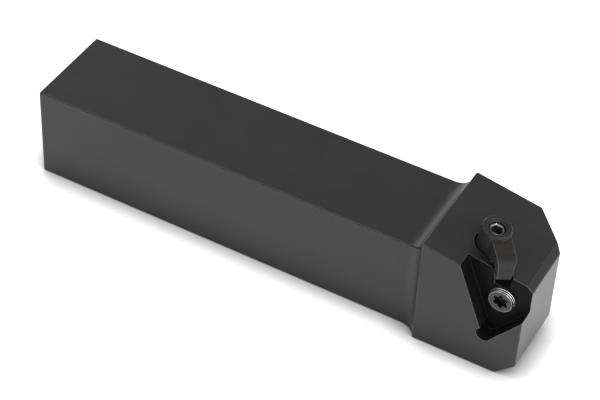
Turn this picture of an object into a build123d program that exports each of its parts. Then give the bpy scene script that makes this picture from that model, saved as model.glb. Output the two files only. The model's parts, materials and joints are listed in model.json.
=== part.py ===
from build123d import *
from math import cos, radians, sin, tan
import os

# A square-shank turning tool holder for an on-edge triangular insert.
# Frame: origin at the centre of the shank's base face, +X towards the head,
# +Y towards the back reference face, +Z up. Lengths in mm, angles in degrees.

# Shank
shank_w = 32.0  # across Y
shank_h = 32.0
shank_l = 133.5
edge_break = 0.45  # small flat on the long edges and round the rear end

# Head
head_l = 32.75
head_rise = 6.4  # top above the shank, where the head begins
head_proud = 3.6  # near side out past the shank
head_relief = 0.3  # underside kept clear of the tool post
top_slope = 10.0  # the top falls towards the nose
rise_run = 6.5  # the rounded step up from the shank's top
proud_run = 5.8  # the rounded step out from the shank's side
head_break = 0.25  # finer flat on the edges of the head
brow_run = 2.1  # facet between the top and the front
brow_drop = 1.9
toe_run = 6.0  # flat under the nose
toe_rise = 5.7
back_corner = 11.3  # 45 degree flat on the back corner

# Pocket for the insert, open at the near side, the top and the front
pocket_depth = 5.4
rear_flank = 68.0  # angles of the two seat faces above horizontal
front_flank = 52.0
vee_back = 10.4  # bottom of the vee behind the front face
vee_h = 10.5
groove_r = 2.35  # relief groove that frees the insert's corner
groove_back = 0.55
groove_up = 2.9

# Top clamp: a boss with an arm that reaches over the pocket
clamp_back = 7.8  # axis behind the pocket's back wall
clamp_ahead = 15.5  # axis ahead of the head's rear edge
boss_r = 4.5
boss_top = 7.3
boss_bottom = 4.1
boss_gap = 0.55
boss_edge = 0.4
arm_angle = -54.0  # from +X, seen from above
arm_right = 3.8
arm_left = 2.75
arm_taper = 5.2
arm_top = 6.5
crease_s = 9.5
crease_h = 6.3
nose_s = 14.3
nose_h = 1.6
nose_low = 1.0
nose_width = 4.1
nose_land = 1.7
arch_rise = 2.2
arm_under = 1.6
web_s = 8.2
web_bottom = 3.4

# Recess for the clamp in the top of the head
recess_depth = 5.2
slot_flare = 33.6  # the slot's left wall, from the arm's direction
mouth_ahead = 19.95  # edge of the slot's mouth in the pocket wall, at the top
mouth_lean = 14.0
mouth_round = 1.8
mouth_depth = 1.6

# Clamp screw
screw_r = 2.5  # root of its thread
thread_gap = 0.05
screw_sink = 0.9  # top of the screw below the top of the boss
screw_l = 22.0
hex_af = 3.0
hex_depth = 3.2
hex_mouth = 0.25
screw_neck_r = 2.1
screw_neck_l = 2.0
tapped_l = 14.0  # tapped hole below the recess floor
bore_mouth = 0.75
screw_chamfer = 0.3

# Seat screw in the pocket's back wall
seat_r = 4.0
seat_back = 8.7  # axis behind the front face
seat_h = 24.65
seat_proud = 1.6
seat_l = 10.0
seat_hole_l = 11.0
seat_rim = 0.45
lobe_count = 6
lobe_r = 0.62
lobe_centre_r = 1.83
lobe_core_r = 1.8
lobe_depth = 3.0

# Places that follow from the sizes above
x_rear = -shank_l / 2
x_head = shank_l / 2
x_front = x_head + head_l
y_near = -shank_w / 2
y_back = shank_w / 2
y_side = y_near - head_proud
y_wall = y_side + pocket_depth
head_h = shank_h + head_rise
slope = tan(radians(top_slope))


def top_z(x):
    return head_h - (x - x_head) * slope


x_brow = x_front - brow_run
z_brow = top_z(x_brow)
over = 2.0  # how far a cutting shape runs past the face that it opens

x_vee = x_front - vee_back
x_groove = x_vee - groove_back
z_groove = vee_h + groove_up

x_clamp = x_head + clamp_ahead
y_clamp = y_wall + clamp_back
clamp_origin = (x_clamp, y_clamp, top_z(x_clamp))
clamp_up = (sin(radians(top_slope)), 0, cos(radians(top_slope)))
clamp_plane = Plane(
    origin=clamp_origin,
    x_dir=(cos(radians(top_slope)), 0, -sin(radians(top_slope))),
    z_dir=clamp_up,
)
clamp_axis = Axis(clamp_origin, clamp_up)
arm_dir = clamp_plane.x_dir.rotate(clamp_axis, arm_angle)
arm_plane = Plane(origin=clamp_origin, x_dir=arm_dir, z_dir=clamp_up)
arm_side = Plane(origin=clamp_origin, x_dir=arm_plane.x_dir, z_dir=-arm_plane.y_dir)
wall_plane = Plane.XZ.offset(-y_wall)
recess_r = boss_r + boss_gap
slot_right = arm_right + boss_gap
slot_reach = (clamp_back + slot_right) / sin(radians(-arm_angle))


def flared(radius, right, reach):
    # A slot from the clamp axis along the arm: its left wall leaves a circle of
    # the given radius on a tangent, its right wall is parallel to the arm.
    flare = radians(slot_flare)
    s = radius * sin(flare)
    t = -radius * cos(flare)
    return [(0, right), (0, 0), (s, t), (reach, t + (reach - s) * tan(flare)), (reach, right)]


# Holder: the side view and the plan, each extruded, meet in one block
with BuildPart() as holder_body:
    with BuildSketch(Plane.XZ) as side_view:
        with BuildLine():
            rise = TangentArc((x_head - rise_run, shank_h), (x_head, head_h), tangent=(1, 0))
            Polyline(
                rise @ 1,
                (x_brow, z_brow),
                (x_front, z_brow - brow_drop),
                (x_front, head_relief + toe_rise),
                (x_front - toe_run, head_relief),
                (x_head + head_relief, head_relief),
                (x_head, 0),
                (x_rear, 0),
                (x_rear, shank_h),
                rise @ 0,
            )
        make_face()
    extrude(amount=shank_w, both=True)
    with BuildSketch(Plane.XY) as plan:
        with BuildLine():
            swell = TangentArc((x_head - proud_run, y_near), (x_head, y_side), tangent=(1, 0))
            Polyline(
                swell @ 1,
                (x_front, y_side),
                (x_front, y_back - back_corner),
                (x_front - back_corner, y_back),
                (x_rear, y_back),
                (x_rear, y_near),
                swell @ 0,
            )
        make_face()
    extrude(amount=head_h, mode=Mode.INTERSECT)
    rear_face = holder_body.faces().sort_by(Axis.X)[0]
    long_edges = holder_body.edges().filter_by(Axis.X).filter_by(lambda e: e.length > shank_l / 2)
    chamfer(long_edges + rear_face.edges(), length=edge_break)
    front_face = holder_body.faces().sort_by(Axis.X)[-1]
    near_lines = holder_body.faces().sort_by(Axis.Y)[0].edges().filter_by(GeomType.LINE)
    top_lines = near_lines.filter_by_position(Axis.Z, z_brow - brow_drop, head_h)
    chamfer(front_face.edges() + top_lines, length=head_break)

    # Insert pocket: a vee with a round groove at its bottom, cut back to the wall
    vee_top = head_h + over
    with BuildSketch(wall_plane) as pocket_view:
        with BuildLine():
            rear_run = 1 / tan(radians(rear_flank))
            front_rise = tan(radians(front_flank))
            Polyline(
                (x_vee - groove_up * rear_run, z_groove),
                (x_vee - (vee_top - vee_h) * rear_run, vee_top),
                (x_front + over, vee_top),
                (x_front + over, vee_h + (vee_back + over) * front_rise),
                (x_vee + groove_r / 2, vee_h + groove_r / 2 * front_rise),
                close=True,
            )
        make_face()
        with Locations((x_groove, z_groove)):
            Circle(groove_r)
    extrude(amount=pocket_depth + over, mode=Mode.SUBTRACT)

    # Round recess and flared slot in the top, square to the sloping face
    with BuildSketch(arm_plane) as recess:
        Circle(recess_r)
        Polygon(*flared(recess_r, slot_right, slot_reach), align=None)
    extrude(amount=-recess_depth, mode=Mode.SUBTRACT)

    # The slot's mouth in the pocket wall: the thin tip of the land is rounded off
    with BuildSketch(wall_plane) as mouth:
        with BuildLine():
            x_mouth = x_head + mouth_ahead
            x_low = x_mouth + recess_depth * tan(radians(mouth_lean))
            z_low = top_z(x_low) - recess_depth / cos(radians(top_slope))
            edge = FilletPolyline(
                (x_mouth - 2 * mouth_round, top_z(x_mouth - 2 * mouth_round)),
                (x_mouth, top_z(x_mouth)),
                (x_low, z_low),
                radius=mouth_round,
            )
            Polyline(
                edge @ 1,
                (x_low + mouth_round, z_low),
                (x_low + mouth_round, head_h),
                (x_mouth - 2 * mouth_round, head_h),
                edge @ 0,
            )
        make_face()
    extrude(amount=-mouth_depth, mode=Mode.SUBTRACT)

    # Tapped holes for the two screws
    with Locations(clamp_plane.offset(-recess_depth)):
        Hole(screw_r + thread_gap, depth=tapped_l)
    with Locations(wall_plane.shift_origin((x_front - seat_back, y_wall, seat_h))):
        Hole(seat_r + thread_gap, depth=seat_hole_l)
holder_body.part.label = "holder_body"

# Clamp: side profile of the arm, kept to its plan, with the boss and the web
with BuildPart() as clamp:
    with BuildSketch(arm_side) as arm_profile:
        with BuildLine():
            top_line = Line((0, arm_top), (crease_s, crease_h))
            nose = ThreePointArc(
                (crease_s, crease_h),
                (crease_s + (nose_s - crease_s) * 0.76, nose_h + (crease_h - nose_h) * 0.67),
                (nose_s, nose_h),
            )
            heel = nose_s - nose_land
            arch = ThreePointArc(
                (heel, nose_low),
                ((heel + web_s) / 2, nose_low + arch_rise),
                (web_s, arm_under),
            )
            Polyline(nose @ 1, (nose_s - (nose_h - nose_low) / 2, nose_low), arch @ 0)
            Polyline(arch @ 1, (0, arm_under), top_line @ 0)
        make_face()
    extrude(amount=boss_r * 2, both=True)
    with BuildSketch(arm_plane) as arm_plan:
        left = tan(radians(arm_taper))
        nose_left = -arm_left + nose_s * left
        Polygon(
            (0, arm_right),
            (0, -arm_left),
            (nose_s, nose_left),
            (nose_s, nose_left + nose_width),
            (nose_s - nose_land - nose_low, arm_right),
            align=None,
        )
    extrude(amount=boss_top, mode=Mode.INTERSECT)
    with BuildSketch(arm_plane.offset(-web_bottom)) as web:
        Polygon(*flared(boss_r, arm_right, web_s), align=None)
        Polygon(
            (0, arm_right),
            (0, -arm_left),
            (web_s, -arm_left + web_s * left),
            (web_s, arm_right),
            align=None,
            mode=Mode.INTERSECT,
        )
    extrude(amount=web_bottom + arm_under)
    with BuildSketch(arm_side) as boss_profile:
        Polygon(
            (0, -boss_bottom),
            (boss_r, -boss_bottom),
            (boss_r, boss_top - boss_edge),
            (boss_r - boss_edge, boss_top),
            (0, boss_top),
            align=None,
        )
    revolve(axis=clamp_axis)
    with Locations(clamp_plane.offset(boss_top)):
        CounterSinkHole(screw_r + thread_gap, screw_r + bore_mouth, counter_sink_angle=90)
clamp.part.label = "clamp"

# Clamp screw: headless, with a neck between its two opposed threads
screw_top = boss_top - screw_sink
with BuildPart() as clamp_screw:
    with BuildSketch(clamp_plane.offset(screw_top - screw_l)) as shank_circle:
        Circle(screw_r)
    extrude(amount=screw_l)
    chamfer(clamp_screw.edges().filter_by(GeomType.CIRCLE), length=screw_chamfer)
    with BuildSketch(clamp_plane.offset(-boss_bottom)) as neck_ring:
        Circle(screw_r)
        Circle(screw_neck_r, mode=Mode.SUBTRACT)
    extrude(amount=-screw_neck_l, mode=Mode.SUBTRACT)
    with BuildSketch(clamp_plane.offset(screw_top)) as hex_socket:
        RegularPolygon(hex_af / 2, 6, major_radius=False)
    extrude(amount=-hex_depth, mode=Mode.SUBTRACT)
    with BuildSketch(clamp_plane.offset(screw_top)) as hex_lead:
        Circle(hex_af / 2 + hex_mouth)
    extrude(amount=-2 * hex_mouth, taper=45, mode=Mode.SUBTRACT)
clamp_screw.part.label = "clamp_screw"

# Seat screw: headless, with a six-lobe socket, standing proud of the wall
seat_plane = wall_plane.shift_origin((x_front - seat_back, y_wall, seat_h))
with BuildPart() as seat_screw:
    with BuildSketch(seat_plane.offset(seat_proud - seat_l)) as seat_circle:
        Circle(seat_r)
    extrude(amount=seat_l)
    chamfer(seat_screw.edges().filter_by(GeomType.CIRCLE), length=seat_rim)
    with BuildSketch(seat_plane.offset(seat_proud)) as lobes:
        Circle(lobe_core_r)
        with PolarLocations(lobe_centre_r, lobe_count):
            Circle(lobe_r)
    extrude(amount=-lobe_depth, mode=Mode.SUBTRACT)
seat_screw.part.label = "seat_screw"

os.makedirs("parts", exist_ok=True)
export_step(holder_body.part, "parts/holder_body.step")
export_step(clamp.part, "parts/clamp.step")
export_step(clamp_screw.part, "parts/clamp_screw.step")
export_step(seat_screw.part, "parts/seat_screw.step")
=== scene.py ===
# %% [markdown]
# # A turning tool holder
#
# A lathe holds its cutting insert in a steel bar like this one: a square
# shank, an enlarged head with a pocket for the insert, and a small clamp that
# reaches over the pocket. The exact shapes come from CAD, so the work here is
# the finish of the steel, the threads of the two screws, the light and the
# camera. Every length is in metres.

# %% Open the CAD frame
import json
from math import radians, tau

import bpy
from mathutils import Matrix, Vector


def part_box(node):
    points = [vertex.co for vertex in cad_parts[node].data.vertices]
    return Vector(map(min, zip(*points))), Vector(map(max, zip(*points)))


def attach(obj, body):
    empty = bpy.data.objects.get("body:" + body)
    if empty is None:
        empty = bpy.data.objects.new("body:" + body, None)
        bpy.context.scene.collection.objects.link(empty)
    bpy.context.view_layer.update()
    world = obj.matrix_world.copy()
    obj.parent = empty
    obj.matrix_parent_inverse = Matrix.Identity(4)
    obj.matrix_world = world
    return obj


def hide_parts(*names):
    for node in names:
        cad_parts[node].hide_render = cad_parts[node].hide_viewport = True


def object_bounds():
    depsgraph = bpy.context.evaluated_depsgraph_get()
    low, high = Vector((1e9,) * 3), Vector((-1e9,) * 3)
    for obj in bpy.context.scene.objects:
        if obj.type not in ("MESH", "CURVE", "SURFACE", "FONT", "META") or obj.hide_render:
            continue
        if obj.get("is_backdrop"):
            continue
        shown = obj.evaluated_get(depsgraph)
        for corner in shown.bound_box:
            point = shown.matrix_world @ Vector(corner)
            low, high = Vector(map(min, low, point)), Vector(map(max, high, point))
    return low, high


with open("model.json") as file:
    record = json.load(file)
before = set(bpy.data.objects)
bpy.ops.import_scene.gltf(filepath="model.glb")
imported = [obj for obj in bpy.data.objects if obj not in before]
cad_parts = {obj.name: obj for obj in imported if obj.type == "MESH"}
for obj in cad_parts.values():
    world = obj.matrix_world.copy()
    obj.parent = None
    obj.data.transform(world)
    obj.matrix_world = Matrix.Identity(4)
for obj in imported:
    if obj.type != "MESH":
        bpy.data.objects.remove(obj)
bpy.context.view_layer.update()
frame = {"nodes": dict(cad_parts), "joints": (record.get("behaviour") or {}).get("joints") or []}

nodes = frame["nodes"]
print("CAD nodes:", sorted(nodes))

# %% [markdown]
# ## Helpers for node trees
#
# Shader trees and Geometry Nodes trees are wired in the same way: make a node,
# set its options, then give each input a value or a link. It could be done
# with three or four lines a node, as the Python console shows it, but a tree
# of forty nodes is then hard to read. Three small helpers keep it to one line:
# one makes any node, one does sums, and one does sums on vectors.

# %% Make nodes and sums
def add(tree, kind, inputs=(), **settings):
    made = tree.nodes.new(kind)
    for name, value in settings.items():
        setattr(made, name, value)
    for key, value in dict(inputs).items():
        if isinstance(value, bpy.types.NodeSocket):
            tree.links.new(value, made.inputs[key])
        else:
            made.inputs[key].default_value = value
    return made


def calc(tree, operation, *values, clamp=False):
    made = add(tree, "ShaderNodeMath", dict(enumerate(values)), operation=operation)
    made.use_clamp = clamp
    return made.outputs[0]


def vector(tree, operation, *values, out="Vector"):
    return add(tree, "ShaderNodeVectorMath", dict(enumerate(values)), operation=operation).outputs[out]


print("helpers ready")

# %% [markdown]
# ## Steel finishes
#
# All four pieces are steel, and what differs is the skin. The holder and the
# clamp are blackened: a thin dark oxide, satin rather than matt, that rubs off
# first along the edges and leaves a fine line of bright metal. A flat grey
# would look like plastic, and a painted texture would need unwrapping, so one
# procedural recipe makes them all. A Bevel node finds the edges, because its
# rounded normal departs from the true one only there. Two sizes of noise vary
# the oxide's tone and gloss, and a noise stretched along the bar gives the
# fine grain that grinding leaves. The oxide itself is very dark, and most of
# what is seen of it is a faint mirror image of the room, so its index of
# refraction matters more than its colour.

# %% A recipe for steel with a dark skin
cloud_scale, speck_scale = 70.0, 1400.0
cloud_share, speck_share = 0.6, 0.4
tone_low, tone_high = 0.35, 0.65
worn_turn, worn_metal = 0.08, 0.9
speck_break, cloud_break, break_start = 0.10, 0.06, -0.03
cloud_rough, line_rough = 0.10, 0.08
line_height, speck_height, bump_height = 0.8, 0.5, 0.00004


def steel(name, dark, light, bare, gloss, edge, wear, grain, grain_scale, metal=0.0, index=1.75):
    material = bpy.data.materials.new(name)
    material.use_nodes = True
    tree = material.node_tree
    shader = tree.nodes["Principled BSDF"]
    shader.inputs["IOR"].default_value = index
    place = add(tree, "ShaderNodeTexCoord").outputs["Object"]
    along = add(tree, "ShaderNodeMapping", {"Vector": place, "Scale": grain_scale}).outputs[0]

    def noise(where, scale, detail):
        sizes = {"Vector": where, "Scale": scale, "Detail": detail}
        return add(tree, "ShaderNodeTexNoise", sizes).outputs["Fac"]

    def blend(share, first, second):
        return add(tree, "ShaderNodeMix", {0: share, 6: first, 7: second}, data_type="RGBA").outputs[2]

    cloud, speck = noise(place, cloud_scale, 4.0), noise(place, speck_scale, 3.0)
    lines = noise(along, 1.0, 4.0)
    mottle = calc(tree, "MULTIPLY_ADD", speck, speck_share, calc(tree, "MULTIPLY", cloud, cloud_share))
    spread = {"Value": mottle, "From Min": tone_low, "From Max": tone_high}
    tone = add(tree, "ShaderNodeMapRange", spread).outputs[0]
    skin = blend(tone, (*dark, 1.0), (*light, 1.0))

    # Where the rounded normal turns away from the true one, the skin is worn
    round_normal = add(tree, "ShaderNodeBevel", {"Radius": edge}, samples=6).outputs[0]
    true_normal = add(tree, "ShaderNodeNewGeometry").outputs["Normal"]
    match = vector(tree, "DOT_PRODUCT", round_normal, true_normal, out="Value")
    turn = calc(tree, "SUBTRACT", 1.0, match)
    ragged = calc(tree, "MULTIPLY_ADD", cloud, cloud_break, break_start)
    broken = calc(tree, "MULTIPLY_ADD", speck, speck_break, ragged)
    clear = calc(tree, "SUBTRACT", turn, broken)
    rubbing = {"Value": clear, "From Max": worn_turn, "To Max": wear}
    worn = add(tree, "ShaderNodeMapRange", rubbing).outputs[0]
    tree.links.new(blend(worn, skin, (*bare, 1.0)), shader.inputs["Base Color"])
    metallic = calc(tree, "MULTIPLY_ADD", worn, worn_metal - metal, metal, clamp=True)
    tree.links.new(metallic, shader.inputs["Metallic"])

    mean = gloss - (cloud_rough + line_rough) / 2
    ground = calc(tree, "MULTIPLY_ADD", lines, line_rough, mean)
    rough = calc(tree, "MULTIPLY_ADD", cloud, cloud_rough, ground)
    tree.links.new(rough, shader.inputs["Roughness"])
    height = calc(tree, "MULTIPLY_ADD", lines, line_height, calc(tree, "MULTIPLY", speck, speck_height))
    bump = add(tree, "ShaderNodeBump", {"Height": height, "Strength": grain, "Distance": bump_height})
    tree.links.new(bump.outputs[0], shader.inputs["Normal"])
    print("finish:", name, "with", len(tree.nodes), "nodes")
    return material


# %% [markdown]
# ## Four steels
#
# The holder has a smooth oxide, with grain along the bar. The clamp is cast or
# forged before it is blackened, so it is duller, and its grain has no
# direction. The clamp screw is glossy black, and the seat screw is bare steel
# under a film of old oil. Each finish is one call of the recipe, so the four
# can be compared line by line. The numbers are reflectances: a rubbed edge
# sends back a third to a half of the light, black oxide about a hundredth.

# %% Mix the four finishes
black_steel = steel(
    "blackened_steel", dark=(0.012, 0.0122, 0.0128), light=(0.018, 0.0182, 0.0190), bare=(0.32, 0.32, 0.32),
    gloss=0.36, index=1.385, edge=0.0003, wear=0.5, grain=0.25, grain_scale=(60.0, 2200.0, 2200.0),
)
clamp_steel = steel(
    "clamp_black_steel", dark=(0.006, 0.006, 0.0062), light=(0.009, 0.009, 0.0092), bare=(0.34, 0.34, 0.34),
    gloss=0.60, index=1.40, edge=0.0003, wear=0.45, grain=0.18, grain_scale=(1200.0, 1200.0, 1200.0),
)
screw_black = steel(
    "screw_black_oxide", dark=(0.010, 0.010, 0.0105), light=(0.016, 0.016, 0.0165), bare=(0.4, 0.4, 0.4),
    gloss=0.32, edge=0.00012, wear=0.7, grain=0.15, grain_scale=(900.0, 900.0, 3000.0),
)
screw_bright = steel(
    "screw_bare_steel", dark=(0.038, 0.038, 0.039), light=(0.052, 0.052, 0.053), bare=(0.5, 0.5, 0.5),
    gloss=0.34, edge=0.00012, wear=0.6, grain=0.2, grain_scale=(1500.0, 400.0, 1500.0), metal=0.85,
)

# %% [markdown]
# ## Shading by place
#
# Some parts of a piece are drawn unlike the rest of it: painted shade inside a cut, painted light on the
# front face, a painted highlight on the rim of a screw, and also a stain and a rubbed mouth. They could be
# given material slots of their own, face by face, but then each slot is one more material to look after. A
# mask in the shader does the same and keeps one material: it is one inside a region of the piece and nought
# outside it. The mask reads the place on the piece, so it holds from every side.

# %% Change a finish inside a region
plain_level = 0.5  # the shader's own Specular IOR Level


def above(tree, place, point, outward):
    """How far a place lies outside the plane through a point."""
    return vector(tree, "DOT_PRODUCT", vector(tree, "SUBTRACT", place, point), outward, out="Value")


def shade_region(material, region, tone=1.0, gleam=1.0, metal=None, polish=0.0, stain=(0.0, 0.0, 0.0)):
    """Where the mask is one: colour times tone plus stain, reflection times gleam, less rough by polish."""
    tree = material.node_tree
    shader = tree.nodes["Principled BSDF"]
    mask = region(tree, tree.nodes["Texture Coordinate"].outputs["Object"])

    def feeds(name):
        return shader.inputs[name].links[0].from_socket

    change = calc(tree, "MULTIPLY_ADD", mask, tone - 1.0, 1.0)
    toned = vector(tree, "MULTIPLY", feeds("Base Color"), change)
    stained = vector(tree, "MULTIPLY_ADD", mask, stain, toned)
    tree.links.new(stained, shader.inputs["Base Color"])
    if gleam != 1.0:
        level = calc(tree, "MULTIPLY_ADD", mask, plain_level * (gleam - 1.0), plain_level)
        tree.links.new(level, shader.inputs["Specular IOR Level"])
    if metal is not None:
        more = calc(tree, "MAXIMUM", feeds("Metallic"), calc(tree, "MULTIPLY", mask, metal))
        tree.links.new(more, shader.inputs["Metallic"])
    if polish:
        rest = calc(tree, "MULTIPLY_ADD", mask, -polish, 1.0)
        tree.links.new(calc(tree, "MULTIPLY", feeds("Roughness"), rest), shader.inputs["Roughness"])
    print("shaded", region.__name__.replace("_", " "), "on", material.name)


# %% [markdown]
# ## Inside the pocket, and the front
#
# The pocket and the recess are milled out of the head, and they are drawn nearly black beside the outer
# faces: painted shade, with a duller reflection as well. The mask for them is simple, because the head is
# convex but for its cuts: a point that lies a hair below every outer face of the head is in a cut. The
# front face is the other way round: it is painted paler, which is painted light on that side of the head.

# %% Paint shade into what is cut into the head, and paint light on its front
low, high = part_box("holder_body")
lift_joint = next(j for j in frame["joints"] if j["name"] == "clamp_lift")
slope_up = Vector(lift_joint["axis"]).normalized()
hair = 0.00012
head_start = -low.x
step_end = head_start + 0.002
cut_back, cut_bottom = 0.0095, 0.009
brow_height, back_corner = 0.031095, 0.0113
front_corner = Vector((high.x, low.y, 0.0))
brow_foot, brow_out = Vector((high.x, 0.0, brow_height)), Vector((1.9, 0.0, 2.1)).normalized()
flat_foot, flat_out = Vector((high.x, high.y - back_corner, 0.0)), Vector((1.0, 1.0, 0.0)).normalized()
cut_faces = (
    (front_corner, Vector((0.0, -1.0, 0.0))),
    (front_corner, Vector((1.0, 0.0, 0.0))),
    (Vector((head_start, 0.0, high.z)), slope_up),
    (brow_foot, brow_out),
    (flat_foot, flat_out),
    (Vector((step_end, 0.0, 0.0)), Vector((-1.0, 0.0, 0.0))),
    (Vector((0.0, cut_back, 0.0)), Vector((0.0, 1.0, 0.0))),
    (Vector((0.0, 0.0, cut_bottom)), Vector((0.0, 0.0, -1.0))),
)


def painted_shade_in_cuts(tree, place):
    mask = 1.0
    for point, outward in cut_faces:
        below = calc(tree, "LESS_THAN", above(tree, place, point, outward), -hair)
        mask = calc(tree, "MULTIPLY", mask, below)
    return mask


def painted_light_on_front(tree, place):
    return calc(tree, "GREATER_THAN", above(tree, place, *cut_faces[1]), -hair)


# painted shade: the cuts' colour is halved and their reflection cut to a tenth
shade_region(black_steel, painted_shade_in_cuts, tone=0.5, gleam=0.1)
# painted light: the front face's colour is made 2.4 times paler
shade_region(black_steel, painted_light_on_front, tone=2.4)

# %% [markdown]
# ## Dress the holder and the clamp
#
# The holder and the clamp have all their shape in the CAD solids, down to the
# broken edges. They could be modelled again over the solids, but nothing would
# be gained. So they get no new mesh, only their finish in place of the plain
# CAD material. The mesh and its place stay as they came.

# %% Give the CAD nodes their finish
for node_name, material in (("holder_body", black_steel), ("clamp", clamp_steel)):
    node = nodes[node_name]
    node.data.materials.clear()
    node.data.materials.append(material)
    print(node_name, "->", material.name, "on", len(node.data.polygons), "faces")

# %% [markdown]
# ## The screws
#
# Both screws are headless bars with a thread all the way down and a socket in
# the end. The Screw modifier could spin a thread profile, but the ends would
# then have to be cut and closed by hand. A thread is a rule: the radius falls
# and rises with height, and the whole pattern climbs by one pitch in a turn.
# So a Geometry Nodes tree bends a flat grid round the axis, row by row. The
# rows themselves climb with the angle, so each crest runs along a row and
# stays sharp. The rows past the thread fold inwards to make the end face, the
# socket and its floor. The same tree makes a hexagon socket or one with six
# lobes, and a neck between two threads.

# %% The sizes that the tree is given
screw_sizes = (
    "Radius", "Length", "Pitch", "Thread Depth", "Chamfer", "Socket Depth", "Socket Half Width",
    "Lobe Centre", "Lobe Radius", "Lobed", "Lead In", "Neck Radius", "Neck Top", "Neck Length",
)
rows_per_turn, seam_gap = 8, 0.000004
flank_slope, crest_flat, cone_drop = 2.6, 0.15, 0.4


def open_tree():
    tree = bpy.data.node_groups.new("threaded_screw", "GeometryNodeTree")
    for size in screw_sizes:
        tree.interface.new_socket(size, in_out="INPUT", socket_type="NodeSocketFloat")
    tree.interface.new_socket("Segments", in_out="INPUT", socket_type="NodeSocketInt")
    tree.interface.new_socket("Material", in_out="INPUT", socket_type="NodeSocketMaterial")
    tree.interface.new_socket("Geometry", in_out="OUTPUT", socket_type="NodeSocketGeometry")
    return tree, add(tree, "NodeGroupInput").outputs


def choose(tree, test, no, yes):
    choice = {"Switch": test, "False": no, "True": yes}
    return add(tree, "GeometryNodeSwitch", choice, input_type="FLOAT").outputs[0]


print("a screw has", len(screw_sizes), "sizes")

# %% [markdown]
# ## The thread
#
# A real thread is cut by a tool with a pointed profile, so its flanks are
# straight and its crest and root are narrow flats. A zigzag in the row number,
# cut off at both ends, gives that profile. The smallest of four radii then
# makes the bar: the thread, a cone at each end for the chamfers, and the neck
# where there is one. A chamfer is at least as deep as the thread, as on a real
# screw, or the rows at the end would fold over one another.

# %% The side of the screw: thread, chamfers and neck
def bar_side(tree, given, row, share):
    def do(operation, *values):
        return calc(tree, operation, *values)

    step = do("SUBTRACT", row, 1)
    turned = do("ADD", do("DIVIDE", step, rows_per_turn), do("SUBTRACT", share, 1))
    climb = do("MULTIPLY", given["Pitch"], turned)
    bottom = do("MULTIPLY", given["Length"], -1)
    height = do("MINIMUM", do("MAXIMUM", do("ADD", bottom, climb), bottom), 0)
    wave = do("PINGPONG", do("DIVIDE", step, rows_per_turn), 0.5)
    flank = calc(tree, "MULTIPLY_ADD", wave, flank_slope, -crest_flat, clamp=True)
    thread = do("SUBTRACT", given["Radius"], do("MULTIPLY", flank, given["Thread Depth"]))
    core = do("SUBTRACT", given["Radius"], given["Chamfer"])
    top_cone = do("SUBTRACT", core, height)
    bottom_cone = do("ADD", core, do("SUBTRACT", height, bottom))
    side = do("MINIMUM", do("MINIMUM", thread, top_cone), bottom_cone)
    half_neck = do("DIVIDE", given["Neck Length"], 2)
    neck_middle = do("SUBTRACT", do("MULTIPLY", given["Neck Top"], -1), half_neck)
    in_neck = do("LESS_THAN", do("ABSOLUTE", do("SUBTRACT", height, neck_middle)), half_neck)
    return choose(tree, in_neck, side, do("MINIMUM", side, given["Neck Radius"])), height


print("thread profile ready")

# %% [markdown]
# ## The socket
#
# Seen from the end, a hexagon socket is six flats, and a lobed one is a circle
# with six round bays. Both repeat every sixth of a turn, so one sixth is
# worked out and the angle is folded back into it. The outline is a radius for
# each angle, and that is all a grid bent round an axis needs.

# %% The socket's outline at each angle
def socket_outline(tree, given, angle):
    def do(operation, *values):
        return calc(tree, operation, *values)

    sixth = tau / 6
    off_middle = do("SUBTRACT", do("FLOORED_MODULO", angle, sixth), sixth / 2)
    flats = do("DIVIDE", given["Socket Half Width"], do("COSINE", off_middle))
    across = do("MULTIPLY", given["Lobe Centre"], do("SINE", off_middle))
    room = do("SUBTRACT", do("POWER", given["Lobe Radius"], 2), do("MULTIPLY", across, across))
    centre = do("MULTIPLY", given["Lobe Centre"], do("COSINE", off_middle))
    bay = do("ADD", centre, do("SQRT", do("MAXIMUM", room, 0)))
    lobes = do("MAXIMUM", given["Socket Half Width"], bay)
    return choose(tree, do("GREATER_THAN", given["Lobed"], 0.5), flats, lobes)


print("socket outline ready")

# %% [markdown]
# ## Bend the grid
#
# The grid's points are numbered row by row, so a point's number gives its row
# and its angle. The first row is the middle of the bottom, the next ones are
# the side, and the last four are the rim, the lead-in, the wall's foot and the
# socket's floor. Merging by distance then closes the seam and both poles. Bent
# this way round, the faces look inwards, so they are flipped. Realize
# Instances and Set Material end the tree, because only real faces with a
# material are exported.

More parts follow.
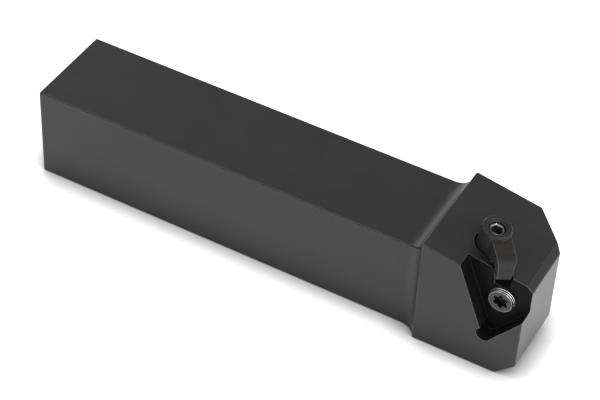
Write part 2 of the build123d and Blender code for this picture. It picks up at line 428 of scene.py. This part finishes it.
# %% A tree that turns a grid into a screw
def screw_tree():
    tree, given = open_tree()

    def do(operation, *values):
        return calc(tree, operation, *values)

    turns = do("DIVIDE", do("ADD", given["Length"], given["Pitch"]), given["Pitch"])
    side_rows = do("ADD", do("CEIL", do("MULTIPLY", turns, rows_per_turn)), 1)
    columns = do("ADD", given["Segments"], 1)
    counts = {"Vertices X": do("ADD", side_rows, 5), "Vertices Y": columns}
    grid = add(tree, "GeometryNodeMeshGrid", counts)
    index = add(tree, "GeometryNodeInputIndex").outputs[0]
    row = do("FLOOR", do("DIVIDE", do("ADD", index, 0.5), columns))
    share = do("DIVIDE", do("SUBTRACT", index, do("MULTIPLY", row, columns)), given["Segments"])
    angle = do("MULTIPLY", share, tau)
    side, side_height = bar_side(tree, given, row, share)
    outline = socket_outline(tree, given, angle)

    past = do("SUBTRACT", row, side_rows)
    rim, lead, foot, floor = (do("GREATER_THAN", past, last) for last in (0.5, 1.5, 2.5, 3.5))
    foot_height = do("MULTIPLY", given["Socket Depth"], -1)
    floor_height = do("SUBTRACT", foot_height, do("MULTIPLY", given["Socket Half Width"], cone_drop))
    radius = choose(tree, do("LESS_THAN", row, 0.5), side, 0.0)
    radius = choose(tree, rim, radius, do("ADD", outline, given["Lead In"]))
    radius = choose(tree, lead, radius, outline)
    radius = choose(tree, floor, radius, 0.0)
    height = choose(tree, rim, side_height, 0.0)
    height = choose(tree, lead, height, do("MULTIPLY", given["Lead In"], -1))
    height = choose(tree, foot, height, foot_height)
    height = choose(tree, floor, height, floor_height)

    x, y = do("MULTIPLY", radius, do("COSINE", angle)), do("MULTIPLY", radius, do("SINE", angle))
    spot = add(tree, "ShaderNodeCombineXYZ", {0: x, 1: y, 2: height}).outputs[0]
    mesh = grid.outputs[0]
    for kind, first, others in (
        ("GeometryNodeSetPosition", "Geometry", {"Position": spot}),
        ("GeometryNodeMergeByDistance", "Geometry", {"Distance": seam_gap}),
        ("GeometryNodeFlipFaces", "Mesh", {}),
        ("GeometryNodeRealizeInstances", "Geometry", {}),
        ("GeometryNodeSetMaterial", "Geometry", {"Material": given["Material"]}),
    ):
        mesh = add(tree, kind, {first: mesh, **others}).outputs[0]
    add(tree, "NodeGroupOutput", {0: mesh})
    return tree


threaded_screw = screw_tree()
print("screw tree:", len(threaded_screw.nodes), "nodes")

# %% [markdown]
# ## Run the tree
#
# A modifier runs the tree. Its inputs are set by the socket's identifier
# before anything asks for the result, and the result is copied to a plain mesh
# so that the modifier can go. The screw is made upright with its end face at
# nought, and its mesh, not its object, is then turned and moved to its hole,
# because a finished piece keeps its object at the origin.

# %% Make a screw and set it in its hole
sharp_angle = radians(32)


def make_screw(name, node_name, body, top, axis, across, **sizes):
    piece = bpy.data.objects.new(name, bpy.data.meshes.new(name))
    bpy.context.scene.collection.objects.link(piece)
    modifier = piece.modifiers.new("screw", "NODES")
    modifier.node_group = threaded_screw
    for socket in threaded_screw.interface.items_tree:
        key = socket.name.lower().replace(" ", "_")
        if socket.in_out == "INPUT" and key in sizes:
            modifier[socket.identifier] = sizes[key]
    graph = bpy.context.evaluated_depsgraph_get()
    mesh = bpy.data.meshes.new_from_object(piece.evaluated_get(graph))
    piece.modifiers.clear()
    piece.data = mesh
    turned = Matrix((across, axis.cross(across), axis)).transposed().to_4x4()
    mesh.transform(Matrix.Translation(top) @ turned)
    mesh.shade_smooth()
    mesh.set_sharp_from_angle(angle=sharp_angle)
    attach(piece, body)
    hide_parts(node_name)
    print(name, "has", len(mesh.polygons), "faces")
    return piece


# %% [markdown]
# ## Rings on a screw
#
# A screw is turned, so what differs on it comes in rings: the rim, the crests
# of the thread, the walls of the socket. Each could have a mask of its own,
# but they are all one idea, with other numbers: a span of distances from the
# axis and a span of depths below the end face.

# %% A mask for a ring
blur = 0.00004


def ring(name, end, axis, inner=-1.0, outer=1.0, shallow=-1.0, deep=1.0):
    def region(tree, place):
        offset = vector(tree, "SUBTRACT", place, end)
        depth = vector(tree, "DOT_PRODUCT", offset, -axis, out="Value")
        out = vector(tree, "LENGTH", vector(tree, "CROSS_PRODUCT", offset, axis), out="Value")
        mask = 1.0
        for value, start, stop in ((out, inner, outer), (depth, shallow, deep)):
            rise = calc(tree, "DIVIDE", calc(tree, "SUBTRACT", value, start), blur, clamp=True)
            fall = calc(tree, "DIVIDE", calc(tree, "SUBTRACT", stop, value), blur, clamp=True)
            mask = calc(tree, "MULTIPLY", mask, calc(tree, "MULTIPLY", rise, fall))
        return mask

    region.__name__ = name
    return region


print("rings ready")

# %% [markdown]
# ## The clamp screw
#
# A headless screw holds the clamp down. It has a thread at each end, one in
# the holder and one in the clamp, with a neck between them, so turning it with
# a key in its hexagon socket draws the clamp down or lifts it. It stands
# square to the sloping top of the head. Its length and radius are read from the
# CAD piece, and the thread is cut into that bar, so that it stays clear of the
# hole at every turn.

# %% Make the clamp screw
turn_joint = next(j for j in frame["joints"] if j["name"] == "clamp_screw_turn")
clamp_up = Vector(turn_joint["axis"]).normalized()
low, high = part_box("clamp_screw")
bar_radius = (high.y - low.y) / 2
bar_length = (high.z - low.z - 2 * bar_radius * clamp_up.x) / clamp_up.z
clamp_screw_end = (low + high) / 2 + clamp_up * bar_length / 2
key_half_width, mouth_bevel, coarse_depth = 0.0016, 0.0003, 0.0004
clamp_screw = make_screw(
    "threaded_clamp_screw", "clamp_screw", "clamp_screw_body",
    top=clamp_screw_end, axis=clamp_up, across=Vector((clamp_up.z, 0.0, -clamp_up.x)),
    radius=bar_radius, length=bar_length, pitch=0.0010, thread_depth=coarse_depth, chamfer=coarse_depth,
    socket_depth=0.0032, socket_half_width=key_half_width, lobed=0.0, lead_in=mouth_bevel,
    neck_radius=0.0021, neck_top=0.0105, neck_length=0.0020, segments=72, material=screw_black,
)

# %% [markdown]
# ## The socket's mouth
#
# The key has rubbed the mouth of the hexagon socket to bright metal. Only its
# small bevel is bright: the screw's end face stays black, and so does the
# depth of the socket. A bevel that is polished as well mirrors one lamp here
# and a dark wall there, so that some of its six facets glint.

# %% Polish the socket's mouth
mouth_reach = 1.16
key_mouth = ring(
    "key_mouth", clamp_screw_end, clamp_up,
    outer=mouth_reach * (key_half_width + mouth_bevel), shallow=0.1 * mouth_bevel, deep=1.5 * mouth_bevel,
)
shade_region(screw_black, key_mouth, tone=30.0, metal=0.9, polish=0.7)

# %% [markdown]
# ## The clamp's arm
#
# Blackening leaves a faint brown cast where the bath ran off the flat top of
# the arm. The flat is a ring too, as seen from the clamp screw: farther out
# than the boss, nearer than the nose, and at one height above the head. The
# stain is added to the colour, not multiplied with it, so that it tints the
# dark oxide and leaves the bare edges alone.

# %% Tint the top of the arm
boss_height, screw_sink = 0.0073, 0.0009
arm_start, arm_crease, arm_low, arm_high = 0.0047, 0.0095, 0.0060, 0.0067
boss_top = clamp_screw_end + clamp_up * screw_sink
arm_top = ring(
    "arm_top", boss_top, clamp_up, inner=arm_start, outer=arm_crease,
    shallow=boss_height - arm_high, deep=boss_height - arm_low,
)
shade_region(clamp_steel, arm_top, stain=(0.0095, 0.0015, 0.0015))

# %% [markdown]
# ## The seat screw
#
# A short set screw with a fine thread sits in the pocket's back wall and
# stands a little proud of it, so that its thread shows at the side. Its socket
# has six lobes. The tree that made the clamp screw makes this one too, with
# other sizes.

# %% Make the seat screw
low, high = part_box("seat_screw")
seat_out = Vector((0.0, -1.0, 0.0))
seat_radius, fine_depth = (high.x - low.x) / 2, 0.00036
seat_screw_end = Vector(((low.x + high.x) / 2, low.y, (low.z + high.z) / 2))
seat_screw = make_screw(
    "threaded_seat_screw", "seat_screw", "seat_screw_body",
    top=seat_screw_end, axis=seat_out, across=Vector((1.0, 0.0, 0.0)),
    radius=seat_radius, length=high.y - low.y, pitch=0.00072, thread_depth=fine_depth, chamfer=fine_depth,
    socket_depth=0.0020, socket_half_width=0.0018, lobe_centre=0.00183, lobe_radius=0.00062,
    lobed=1.0, lead_in=0.0001, neck_radius=seat_radius, neck_top=0.0, neck_length=0.0,
    segments=96, material=screw_bright,
)

# %% [markdown]
# ## The seat screw's rings
#
# The crests of the thread get a painted highlight and the roots painted shade. At this size the shape of
# the thread alone is hardly seen, and the two tones make it read. The rim of the face is a turned ring,
# drawn brighter than the rest as a painted highlight, and the socket is darkened and dulled as painted
# shade.

# %% Paint highlights on the crests and the rim, and shade in the roots and the socket
crest, rim_start = seat_radius - 0.00011, seat_radius - 0.00057
behind_rim, rim_depth, socket_wall = 0.9 * fine_depth, 0.00022, 0.0028
painted_shade_roots = ring("thread_roots", seat_screw_end, seat_out, inner=socket_wall, outer=crest, shallow=behind_rim)
painted_highlight_crests = ring("thread_crests", seat_screw_end, seat_out, inner=crest, shallow=behind_rim)
rim = ring("rim", seat_screw_end, seat_out, inner=rim_start, deep=rim_depth)
socket = ring("socket", seat_screw_end, seat_out, outer=socket_wall, shallow=behind_rim)
# painted shade: the thread roots are drawn nearly black, with almost no reflection
shade_region(screw_bright, painted_shade_roots, tone=0.02, gleam=0.02)
# painted highlight: the thread crests are drawn twelve times paler
shade_region(screw_bright, painted_highlight_crests, tone=12.0)
# painted highlight: the rim of the face is drawn 3.2 times paler
shade_region(screw_bright, rim, tone=3.2)
# painted shade: the socket is drawn darker, with a weaker reflection
shade_region(screw_bright, socket, tone=0.5, gleam=0.4)

# %% [markdown]
# ## The floor
#
# The holder lies on a plain white sheet. A sheet that is lit to full white would need so much light that
# the steel would turn grey. So it is lit like everything else, and keeps its soft shadow, and a glow that
# only the camera and reflections see brings it up to paper white. The glow would wash out the dark line
# where the bar touches the sheet, so an Ambient Occlusion node paints that contact shadow back into the
# sheet's colour and glow.

# %% Lay the floor
floor_mesh = bpy.data.meshes.new("floor")
reach = 6.0
corners = [(-reach, -reach, 0), (reach, -reach, 0), (reach, reach, 0), (-reach, reach, 0)]
floor_mesh.from_pydata(corners, [], [(0, 1, 2, 3)])
floor = bpy.data.objects.new("floor", floor_mesh)
bpy.context.scene.collection.objects.link(floor)
paper = bpy.data.materials.new("white_paper")
paper.use_nodes = True
tree = paper.node_tree
sheet = tree.nodes["Principled BSDF"]
sheet.inputs["Roughness"].default_value = 0.9
sheet.inputs["Emission Color"].default_value = (1.0, 1.0, 1.0, 1.0)
paper_white, floor_glow, touch, touch_fade = 0.86, 0.66, 0.010, 1.5
rays = add(tree, "ShaderNodeLightPath").outputs
mirrored = calc(tree, "ADD", rays["Is Glossy Ray"], rays["Is Transmission Ray"])
seen = calc(tree, "ADD", rays["Is Camera Ray"], mirrored, clamp=True)
# painted contact shadow: Ambient Occlusion darkens the sheet's colour and its glow next to the bar
crevice = add(tree, "ShaderNodeAmbientOcclusion", {"Distance": touch}, samples=16).outputs["AO"]
painted_contact_shadow = calc(tree, "MULTIPLY", seen, calc(tree, "SUBTRACT", 1.0, calc(tree, "POWER", crevice, touch_fade)))
open_sky = calc(tree, "SUBTRACT", 1.0, painted_contact_shadow)
white = calc(tree, "MULTIPLY", open_sky, paper_white)
shade = add(tree, "ShaderNodeCombineColor", {0: white, 1: white, 2: white}).outputs[0]
tree.links.new(shade, sheet.inputs["Base Color"])
glow = calc(tree, "MULTIPLY", calc(tree, "MULTIPLY", seen, floor_glow), open_sky)
tree.links.new(glow, sheet.inputs["Emission Strength"])
floor_mesh.materials.append(paper)
floor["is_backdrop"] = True
print("floor placed at z = 0")

# %% [markdown]
# ## The room
#
# Dark satin steel shows little but what it mirrors. A studio has pale walls
# and a dimmer ceiling, and that difference draws the form: flat tops mirror
# the ceiling and stay dark, while the rounded step at the head mirrors the
# walls and shows as a light band. A world that is bright at the horizon and
# falls off with height does this with one node. The camera alone sees it as
# plain white.

# %% Paint the room
world = bpy.data.worlds.new("pale_room")
bpy.context.scene.world = world
world.use_nodes = True
tree = world.node_tree
room = tree.nodes["Background"]
room.inputs["Color"].default_value = (1.0, 1.0, 1.0, 1.0)
ceiling, walls, wall_height = 0.66, 1.2, 0.25
towards = add(tree, "ShaderNodeTexCoord").outputs["Generated"]
rise = add(tree, "ShaderNodeSeparateXYZ", {0: towards}).outputs[2]
fall_off = {"Value": rise, "From Max": wall_height, "To Min": walls, "To Max": ceiling}
sky = add(tree, "ShaderNodeMapRange", fall_off).outputs[0]
rays = add(tree, "ShaderNodeLightPath").outputs
to_white = calc(tree, "SUBTRACT", 1.0, sky)
tree.links.new(calc(tree, "MULTIPLY_ADD", rays["Is Camera Ray"], to_white, sky), room.inputs["Strength"])
print("room: walls", walls, "ceiling", ceiling)

# %% [markdown]
# ## The lamps
#
# Three square softboxes light it. The large key stands at the front right and
# brings out the front face. A small one above the camera's left shoulder gives
# the worn edges their thin light lines and glints on the screws. A third, low
# at the back left, is mirrored by the rounded step between shank and head.
# Large lamps close by keep every shadow soft.

# %% Hang the lamps
def softbox(name, place, size, watts):
    lamp = bpy.data.lights.new(name, "AREA")
    lamp.shape, lamp.size, lamp.energy = "SQUARE", size, watts
    stand = bpy.data.objects.new(name, lamp)
    bpy.context.scene.collection.objects.link(stand)
    stand.location = place
    stand.rotation_mode = "QUATERNION"
    stand.rotation_quaternion = (lamp_aim - Vector(place)).to_track_quat("-Z", "Y")
    print(name, "at", place, "with", watts, "W")


lamp_aim = Vector((0.02, 0.0, 0.02))
softbox("key_lamp", (1.0, -0.37, 0.85), size=1.2, watts=13.0)
softbox("left_lamp", (-0.30, -0.68, 0.67), size=0.6, watts=1.5)
softbox("back_lamp", (-0.75, 0.66, 0.22), size=0.5, watts=0.9)

# %% [markdown]
# ## The camera
#
# A long lens from above the front right corner shows the top, the near side
# and the pocket at once, from far enough away that the bar's long edges stay
# nearly parallel. The camera could be aimed by a constraint, but three angles
# say the same and leave nothing live in the scene.

# %% Place the camera
camera_data = bpy.data.cameras.new("catalogue_camera")
camera_data.sensor_width = 36.0
camera_data.lens = 120.07
camera_data.clip_start, camera_data.clip_end = 0.01, 50.0
camera = bpy.data.objects.new("catalogue_camera", camera_data)
bpy.context.scene.collection.objects.link(camera)
camera.location = (0.21983, -0.396478, 0.430243)
tilt, roll, heading = 46.98, -2.372, 29.279
camera.rotation_euler = (radians(tilt), radians(roll), radians(heading))
bpy.context.scene.camera = camera
bpy.context.scene.view_settings.view_transform = "Standard"
print("camera lens", camera_data.lens)

# %% [markdown]
# ## Check the size
#
# The dressed part must be as large as the CAD part, or it won't fit the tool
# post that the CAD part fits. The box round everything is measured again, now
# with the threaded screws, and written beside the box measured at the start.

# %% Write the sizes and finish
low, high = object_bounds()
print("visual box", [round(v * 1000, 2) for v in (*low, *high)])
